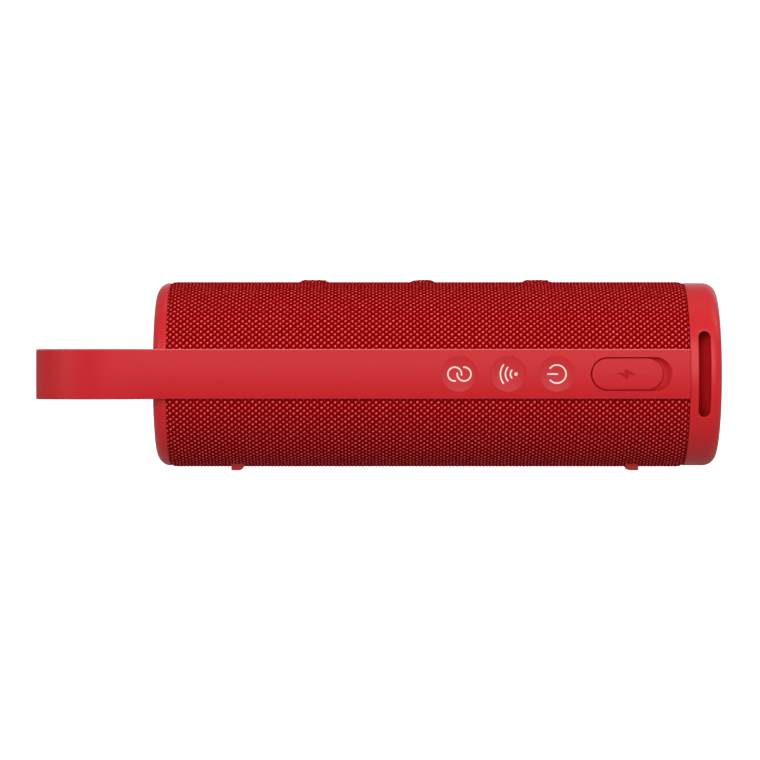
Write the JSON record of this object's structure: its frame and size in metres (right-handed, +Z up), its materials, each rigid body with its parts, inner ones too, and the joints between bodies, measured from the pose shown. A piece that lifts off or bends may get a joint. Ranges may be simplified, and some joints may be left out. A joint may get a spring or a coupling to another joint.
{
  "type": "portable speaker",
  "caption": "Fabric-wrapped cylindrical portable speaker with a rear control strip that runs on into a carry strap, end radiators and foot bars.",
  "frame": {"origin": "under the middle of the speaker with its strap, on the surface that the two foot bars stand on", "axes": "+X along the barrel towards the base cap, +Y towards the front grille, away from the control strip, +Z up"},
  "size_m": [0.2371, 0.0658, 0.0667],
  "materials": {
    "red_plastic": "satin moulded plastic",
    "red_silicone": "matt silicone",
    "red_fabric": "woven mesh",
    "black_plastic": "matt",
    "black_rubber": "matt",
    "steel": "brushed",
    "magnet": "plated",
    "copper": "wound wire",
    "paper": "pressed pulp",
    "board": "solder resist",
    "cell_wrap": "shrink wrap",
    "red_lead": "insulation",
    "black_lead": "insulation"
  },
  "bodies": {
    "shell": {"fabric_sleeve": "red_fabric", "grille_barrel": "black_plastic", "left_cap": "red_plastic", "base_cap": "red_plastic", "base_pad": "black_rubber", "carry_strap": "red_silicone", "strap_pin": "steel", "control_frame": "red_plastic", "usb_socket": "steel", "port_seal": "black_rubber", "control_board": "board", "board_screw_left": "steel", "board_screw_right": "steel", "top_board": "board", "left_foot": "red_silicone", "right_foot": "red_silicone", "chamber_front": "black_plastic", "chamber_rear": "black_plastic", "upper_gasket": "black_rubber", "lower_gasket": "black_rubber", "woofer_frame": "black_plastic", "woofer_surround": "black_rubber", "woofer_spider": "paper", "woofer_magnet": "magnet", "tweeter_frame": "black_plastic", "tweeter_magnet": "magnet", "battery_cell_upper": "cell_wrap", "battery_cell_lower": "cell_wrap", "battery_cradle": "black_plastic", "main_board": "board", "battery_lead": "red_lead", "woofer_lead": "black_lead", "link_switch": "black_plastic", "wireless_switch": "black_plastic", "power_switch": "black_plastic", "minus_switch": "black_plastic", "play_switch": "black_plastic", "plus_switch": "black_plastic", "left_radiator_frame": "black_plastic", "left_radiator_surround": "black_rubber", "base_radiator_frame": "black_plastic", "base_radiator_surround": "black_rubber"},
    "link_key": {"link_key": "red_silicone", "link_plunger": "steel"},
    "wireless_key": {"wireless_key": "red_silicone", "wireless_plunger": "steel"},
    "power_key": {"power_key": "red_silicone", "power_plunger": "steel"},
    "minus_key": {"minus_key": "red_silicone", "minus_plunger": "steel"},
    "play_key": {"play_key": "red_silicone", "play_plunger": "steel"},
    "plus_key": {"plus_key": "red_silicone", "plus_plunger": "steel"},
    "port_cover": {"port_cover": "red_silicone"},
    "woofer_cone": {"woofer_cone": "paper", "voice_coil": "copper"},
    "tweeter_dome": {"tweeter_dome": "steel"},
    "left_radiator": {"left_radiator_plate": "steel"},
    "base_radiator": {"base_radiator_plate": "steel"}
  },
  "joints": [
    {"name": "link_press", "type": "slide", "parent": "shell", "child": "link_key", "axis": [0, 1, 0], "range_m": [0, 0.0004], "stiffness_N_per_m": 400, "springref_m": -0.0006},
    {"name": "wireless_press", "type": "slide", "parent": "shell", "child": "wireless_key", "axis": [0, 1, 0], "range_m": [0, 0.0004], "stiffness_N_per_m": 400, "springref_m": -0.0006},
    {"name": "power_press", "type": "slide", "parent": "shell", "child": "power_key", "axis": [0, 1, 0], "range_m": [0, 0.0004], "stiffness_N_per_m": 400, "springref_m": -0.0006},
    {"name": "minus_press", "type": "slide", "parent": "shell", "child": "minus_key", "axis": [0, 0, -1], "range_m": [0, 0.0004], "stiffness_N_per_m": 400, "springref_m": -0.0006},
    {"name": "play_press", "type": "slide", "parent": "shell", "child": "play_key", "axis": [0, 0, -1], "range_m": [0, 0.0004], "stiffness_N_per_m": 400, "springref_m": -0.0006},
    {"name": "plus_press", "type": "slide", "parent": "shell", "child": "plus_key", "axis": [0, 0, -1], "range_m": [0, 0.0004], "stiffness_N_per_m": 400, "springref_m": -0.0006},
    {"name": "port_cover_hinge", "type": "hinge", "parent": "shell", "child": "port_cover", "pos_m": [0.0735, -0.03295, 0.0335], "axis": [0, 0, -1], "range_deg": [0, 120]},
    {"name": "woofer_stroke", "type": "slide", "parent": "shell", "child": "woofer_cone", "axis": [0, 1, 0], "range_m": [-0.003, 0.003], "stiffness_N_per_m": 800, "deforming": ["woofer_surround", "woofer_spider"]},
    {"name": "tweeter_stroke", "type": "slide", "parent": "shell", "child": "tweeter_dome", "axis": [0, 1, 0], "range_m": [-0.00025, 0.00025], "stiffness_N_per_m": 1000},
    {"name": "left_radiator_stroke", "type": "slide", "parent": "shell", "child": "left_radiator", "axis": [1, 0, 0], "range_m": [-0.003, 0.003], "stiffness_N_per_m": 1500, "deforming": ["left_radiator_surround"]},
    {"name": "base_radiator_stroke", "type": "slide", "parent": "shell", "child": "base_radiator", "axis": [1, 0, 0], "range_m": [-0.003, 0.003], "stiffness_N_per_m": 1500, "deforming": ["base_radiator_surround"]}
  ]
}
